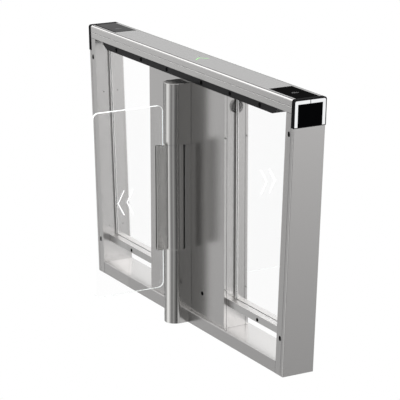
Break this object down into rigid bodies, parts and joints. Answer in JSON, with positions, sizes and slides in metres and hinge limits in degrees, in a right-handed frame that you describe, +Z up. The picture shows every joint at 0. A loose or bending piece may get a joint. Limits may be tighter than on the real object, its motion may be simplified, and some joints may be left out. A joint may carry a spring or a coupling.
{
  "type": "swing-leaf turnstile pedestal",
  "caption": "Slim stainless access pedestal with leaning ends, window bays, a central cabinet and a turning glass leaf on each side.",
  "frame": {"origin": "on the floor under the middle of the pedestal", "axes": "+X along the pedestal to its right end, +Y to the far side, +Z up"},
  "size_m": [1.5466, 0.872, 1.0048],
  "materials": {
    "brushed_steel": "brushed stainless",
    "inner_steel": "plain sheet",
    "bright_steel": "ground",
    "motor_metal": "satin",
    "black_metal": "satin black",
    "black_plastic": "satin",
    "black_glass": "polished black panel",
    "sensor_lens": "infrared lens",
    "clear_glass": "clear toughened glass",
    "white_light": "lit diffuser",
    "green_light": "lit diffuser",
    "dim_light": "unlit diffuser",
    "circuit_board": "lacquered board"
  },
  "bodies": {
    "pedestal": {"base_beam": "brushed_steel", "floor_plate": "inner_steel", "right_foot_plate": "inner_steel", "left_foot_plate": "inner_steel", "right_post": "brushed_steel", "left_post": "brushed_steel", "right_end_cover": "brushed_steel", "left_end_cover": "brushed_steel", "right_lower_sensor": "sensor_lens", "right_upper_sensor": "sensor_lens", "left_lower_sensor": "sensor_lens", "left_upper_sensor": "sensor_lens", "sensor_strip": "black_metal", "near_strip_window": "black_glass", "far_strip_window": "black_glass", "top_beam": "brushed_steel", "top_cover": "brushed_steel", "lit_chevron": "green_light", "unlit_chevron": "dim_light", "right_reader_glass": "black_glass", "left_reader_glass": "black_glass", "right_reader_module": "black_plastic", "left_reader_module": "black_plastic", "right_cap": "black_plastic", "left_cap": "black_plastic", "right_light_guide": "white_light", "left_light_guide": "white_light", "right_cap_glass": "black_glass", "left_cap_glass": "black_glass", "near_cabinet_cover": "brushed_steel", "far_cabinet_cover": "brushed_steel", "right_cabinet_wall": "brushed_steel", "left_cabinet_wall": "brushed_steel", "speaker": "black_plastic", "right_rail": "brushed_steel", "left_rail": "brushed_steel", "right_window": "clear_glass", "left_window": "clear_glass", "near_lower_housing": "brushed_steel", "far_lower_housing": "brushed_steel", "near_upper_housing": "brushed_steel", "far_upper_housing": "brushed_steel", "near_rear_guard": "brushed_steel", "far_rear_guard": "brushed_steel", "near_motor": "motor_metal", "far_motor": "motor_metal", "near_pivot_pin": "bright_steel", "far_pivot_pin": "bright_steel", "near_pivot_bearing": "bright_steel", "far_pivot_bearing": "bright_steel", "control_board": "circuit_board", "power_supply": "inner_steel"},
    "near_wing": {"near_sleeve": "brushed_steel", "near_clamp_plate": "brushed_steel", "near_leaf": "clear_glass", "near_drive_shaft": "bright_steel"},
    "far_wing": {"far_sleeve": "brushed_steel", "far_clamp_plate": "brushed_steel", "far_leaf": "clear_glass", "far_drive_shaft": "bright_steel"}
  },
  "joints": [
    {"name": "near_wing_swing", "type": "hinge", "parent": "pedestal", "child": "near_wing", "pos_m": [0, -0.1001, 0.4925], "axis": [0, 0, 1], "range_deg": [-90, 90]},
    {"name": "far_wing_swing", "type": "hinge", "parent": "pedestal", "child": "far_wing", "pos_m": [0, 0.1001, 0.4925], "axis": [0, 0, 1], "range_deg": [-90, 90]}
  ]
}
